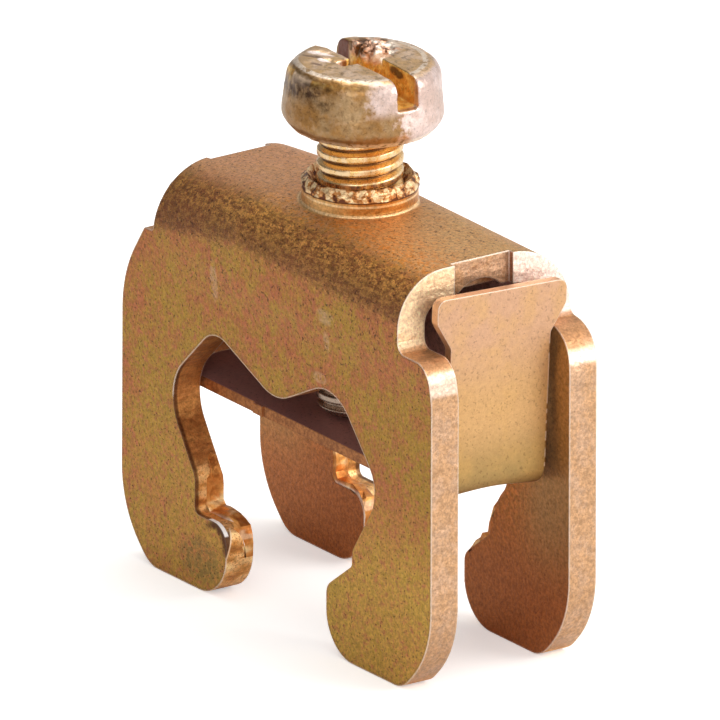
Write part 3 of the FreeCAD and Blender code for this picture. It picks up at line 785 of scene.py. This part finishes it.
def thread_material():
    """The thread: roots painted brown as shade, golden flanks, crests with a painted highlight,
    greyer below the dome.
    """
    g = Graph("passivated_thread")
    grain = g.noise(2.4, 4.0, 0.7, (1, 1, 0.6), 3.0)
    ring = g.length(g.x, g.y)
    # Painted shade in the roots and painted highlights on the crests.
    flank = g.step(ring, ROOT + 0.02, ROOT + 0.12)
    colour = g.mix(flank, srgb(118, 78, 46), srgb(236, 192, 126))
    pale = g.both(g.step(ring, CREST - 0.14, CREST - 0.04), g.step(grain, 0.40, 0.56))
    colour = g.mix(g.both(pale, 0.7), colour, srgb(250, 222, 182))
    colour = g.mix(g.step(g.z, 22.5, 20.5), colour, srgb(170, 150, 134))
    colour = speckled(g, colour, 0.4)
    roughness = g.math("ADD", g.both(grain, 0.15), 0.20)
    return g.finish(colour, roughness, 0.95, grain, 0.02, 0.05)


def add_object(name, mesh, material):
    """An object of a mesh, with one material."""
    piece = bpy.data.objects.new(name, mesh)
    bpy.context.scene.collection.objects.link(piece)
    mesh.materials.clear()
    mesh.materials.append(material)
    return piece


def mesh_from(name, points, faces, smooth=True):
    """A mesh of points, in metres, and faces."""
    mesh = bpy.data.meshes.new(name)
    mesh.from_pydata([tuple(float(v) for v in p) for p in points], [], faces)
    if smooth:
        mesh.shade_smooth()
    return mesh


def grid_faces(rows, columns, closed):
    """Quads of a grid of points, its rows closed into rings or left open."""
    faces = []
    last = columns if closed else columns - 1
    for row in range(rows - 1):
        for col in range(last):
            following = (col + 1) % columns
            first = row * columns
            faces.append((first + col, first + following,
                          first + columns + following, first + columns + col))
    return faces


def dress(node, material):
    """Gives a CAD node the material in all of its slots."""
    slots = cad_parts[node].material_slots
    if not slots:
        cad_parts[node].data.materials.append(material)
    for slot in slots:
        slot.material = material


def leaning():
    """The turn that leans the bent head over, about a place inside the collar."""
    pivot = Matrix.Translation((0, 0, LEAN_HEIGHT * MM))
    back = basis(AZIMUTH, ELEVATION)[2]
    return pivot @ Matrix.Rotation(-LEAN, 4, back) @ pivot.inverted()


def thread_mesh(low, high):
    """A right-hand 60 degree thread from low to high, in millimetres."""
    around = THREAD_AROUND
    count = int(round((high - low) / (PITCH / THREAD_ROWS_PER_PITCH))) + 1
    angles = np.linspace(0, 2 * math.pi, around, endpoint=False)
    heights = np.linspace(low, high, count)
    angle, height = np.meshgrid(angles, heights)
    phase = (height / PITCH - angle / (2 * math.pi)) % 1.0
    flank = np.clip(1.75 - np.abs(phase - 0.5) * 3.7, 0, 1)
    fade = np.clip((height - low) / (0.55 * PITCH), 0, 1)
    runout = np.clip((high - height) / (0.5 * PITCH), 0.55, 1)
    radius = ROOT + (CREST - ROOT) * flank * runout
    radius = np.minimum(radius, CREST - 0.45 + 0.45 * fade)
    points = np.stack([radius * np.cos(angle), radius * np.sin(angle), height], -1)
    faces = grid_faces(count, around, True)
    faces.append(tuple(reversed(range(around))))
    return mesh_from("screw_thread", points.reshape(-1, 3) * MM, faces)


def head_mesh(head_base, top):
    """The head from the screw's solid, remeshed fine, with a worn edge, a chewed place, nicks."""
    source = bmesh.new()
    source.from_mesh(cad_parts["clamp_screw"].data)
    bmesh.ops.remove_doubles(source, verts=source.verts, dist=1e-7)
    low = (head_base - HEAD_CUT) * MM
    cut = bmesh.ops.bisect_plane(source, geom=source.verts[:] + source.edges[:] + source.faces[:],
                                 plane_co=(0, 0, low), plane_no=(0, 0, 1), clear_inner=True)
    rim = [e for e in cut["geom_cut"] if isinstance(e, bmesh.types.BMEdge)]
    bmesh.ops.contextual_create(source, geom=rim)
    rough = bpy.data.meshes.new("head_source")
    source.to_mesh(rough)
    source.free()
    holder = bpy.data.objects.new("head_source", rough)
    bpy.context.scene.collection.objects.link(holder)
    remesh = holder.modifiers.new("remesh", "REMESH")
    remesh.mode = "VOXEL"
    remesh.voxel_size = HEAD_VOXEL * MM
    soften = holder.modifiers.new("soften", "SMOOTH")
    soften.factor = 0.5
    soften.iterations = 4
    depsgraph = bpy.context.evaluated_depsgraph_get()
    mesh = bpy.data.meshes.new_from_object(holder.evaluated_get(depsgraph))
    bpy.data.objects.remove(holder)
    mesh.name = "screw_head"
    points = [vertex.co / MM for vertex in mesh.vertices]
    normals = [Vector(vertex.normal) for vertex in mesh.vertices]
    moved = []
    for point, normal in zip(points, normals):
        push = HEAD_WAVES * noise.fractal(point * 1.3, 0.8, 2.0, 3)
        slump = min(1.0, max(0.0, (-0.9 * point.x - 0.4 * point.y - 2.2) / 1.8))
        point.z -= HEAD_SLUMP * slump * slump * min(1.0, max(0.0, point.z - top + 1.6))
        flat = math.hypot(point.x - CHEWED[0], point.y - CHEWED[1])
        chewed = max(0.0, 1 - flat / CHEWED_RADIUS) * max(0.0, 1 - abs(point.z - top) / 1.2)
        if chewed > 0:
            torn = noise.fractal(point * 1.9 + Vector((5, 1, 2)), 0.8, 2.1, 3)
            push += chewed * (0.55 * torn - 0.08)
        for x, y, turn, wide, long in TICKS:
            across = (point.x - x) * math.sin(turn) - (point.y - y) * math.cos(turn)
            along = (point.x - x) * math.cos(turn) + (point.y - y) * math.sin(turn)
            oval = 1 - (across / wide) ** 2 - (along / long) ** 2
            if oval > 0 and abs(point.z - top) < 0.3:
                push -= TICK_DEPTH * oval
        moved.extend((point + normal * push) * MM)
    mesh.vertices.foreach_set("co", moved)
    mesh.update()
    mesh.shade_smooth()
    return mesh


def make_screw():
    """The screw: a worn head, a little bent over, on a real thread that stays upright."""
    low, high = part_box("clamp_screw")
    head_base = high[2] / MM - HEAD_HEIGHT
    head = head_mesh(head_base, high[2] / MM)
    thread = thread_mesh(low[2] / MM + THREAD_START, head_base + THREAD_OVERLAP)
    head.transform(leaning())
    for name, mesh, material in (("screw_head", head, head_material(head_base)),
                                 ("screw_thread", thread, thread_material())):
        piece = add_object(name, mesh, material)
        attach(piece, "clamp_screw")
        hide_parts("clamp_screw")


def ragged(rng, count, low, high):
    """Closed random wave of the given wave numbers, between -1 and 1."""
    angles = np.linspace(0, 2 * math.pi, count, endpoint=False)
    total = np.zeros(count)
    for waves in range(low, high):
        total += rng.normal() * np.cos(waves * angles + rng.uniform(0, 2 * math.pi)) / waves ** 0.4
    return total / np.abs(total).max()


def make_rim(material):
    """The torn rim of the drawn collar, a jagged crest that sinks into the bore."""
    rng = np.random.default_rng(RIM_SEED)
    around = RIM_AROUND
    angles = np.linspace(0, 2 * math.pi, around, endpoint=False)

    def wave(low, high):
        """The next random wave round the rim."""
        return ragged(rng, around, low, high)

    outer = COLLAR_OUTSIDE + 0.03 + 0.05 * wave(6, 26)
    lip = COLLAR_TOP - 0.70 + 0.08 * wave(3, 14) + 0.03 * wave(14, 40)
    crest = COLLAR_TOP - 0.06 + 0.14 * wave(4, 20) + 0.05 * wave(20, 50)
    rings = [
        (np.full(around, COLLAR_OUTSIDE - 0.03), lip - 0.10),
        (outer, lip),
        (outer - 0.05 + 0.07 * wave(12, 34), lip + 0.16 + 0.05 * wave(12, 40)),
        (outer + 0.01 + 0.05 * wave(12, 34), lip + 0.34 + 0.06 * wave(12, 40)),
        (outer - 0.16 + 0.08 * wave(12, 34), crest - 0.20 + 0.07 * wave(12, 40)),
        (outer - 0.30 + 0.06 * wave(12, 34), crest),
        (outer - 0.48 + 0.06 * wave(12, 34), crest - 0.18 + 0.10 * wave(12, 34)),
        (outer - 0.64 + 0.05 * wave(10, 34), crest - 0.40 + 0.08 * wave(12, 34)),
        (np.full(around, RIM_BORE), np.full(around, COLLAR_TOP - 0.78)),
    ]
    points = [np.stack([radius * np.cos(angles), radius * np.sin(angles), height], -1)
              for radius, height in rings]
    faces = grid_faces(len(rings), around, True)
    mesh = mesh_from("collar_rim", np.concatenate(points) * MM, faces, smooth=False)
    piece = add_object("collar_rim", mesh, material)
    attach(piece, "saddle")


def walked(path, pace):
    """Points and outward normals every pace along a polyline of (x, z) corners."""
    places, normals = [], []
    for (x0, z0), (x1, z1) in zip(path, path[1:]):
        length = math.hypot(x1 - x0, z1 - z0)
        steps = max(1, int(round(length / pace)))
        for i in range(steps):
            share = i / steps
            places.append((x0 + (x1 - x0) * share, z0 + (z1 - z0) * share))
            normals.append(((z0 - z1) / length, (x1 - x0) / length))
    places.append(path[-1])
    normals.append(normals[-1])
    normals = np.array(normals)
    padded = np.pad(normals, ((2, 2), (0, 0)), mode="edge")
    normals = sum(padded[i:i + len(normals)] for i in range(5))
    normals /= np.linalg.norm(normals, axis=1)[:, None]
    return np.array(places), normals


def make_breaks(material):
    """The torn half of each sheared hook, where the metal broke away towards the inside."""
    inside = LEG_OUTSIDE - SHEET
    rng = np.random.default_rng(BREAK_SEED)
    for name, path in (("square", SQUARE_HOOK), ("sloped", SLOPED_HOOK)):
        places, normals = walked(path, BREAK_PACE)
        count = len(places)
        share = np.linspace(0, 1, count)
        ends = np.clip(np.minimum(share * 3, (1 - share) * 9), 0, 1)
        seat = np.exp(-((places[:, 1] - BREAK_SEAT[0]) / BREAK_SEAT[1]) ** 2)
        rise = BREAK * ends * (0.45 + 0.65 * seat)
        for side, side_name in ((-1, "near"), (1, "far")):
            lines = []
            for depth, level in BREAK_ROWS:
                out = rise * level
                spread = 0.24 * (1 - seat) * (depth > 0.45) * (depth < 0.6)
                y = LEG_OUTSIDE - (depth + spread) * SHEET
                if level > 0:
                    out = out * (1 + rng.normal(0, 0.16, count))
                    y = np.maximum(y + rng.normal(0, 0.03, count), inside)
                lines.append(np.stack([places[:, 0] + normals[:, 0] * out, side * y,
                                       places[:, 1] + normals[:, 1] * out], -1))
            faces = grid_faces(len(lines), count, False)
            mesh = mesh_from("break", np.concatenate(lines) * MM, faces, smooth=False)
            piece = add_object("break_%s_%s" % (name, side_name), mesh, material)
            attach(piece, "saddle")


add_camera()
add_world()
add_floor()
for light in LIGHTS:
    add_light(*light)
sheet_finish = saddle_material()
dress("saddle", sheet_finish)
dress("pressure_plate", plate_material())
make_screw()
make_rim(sheet_finish)
make_breaks(torn_material())

bpy.context.scene.view_settings.view_transform = "Standard"
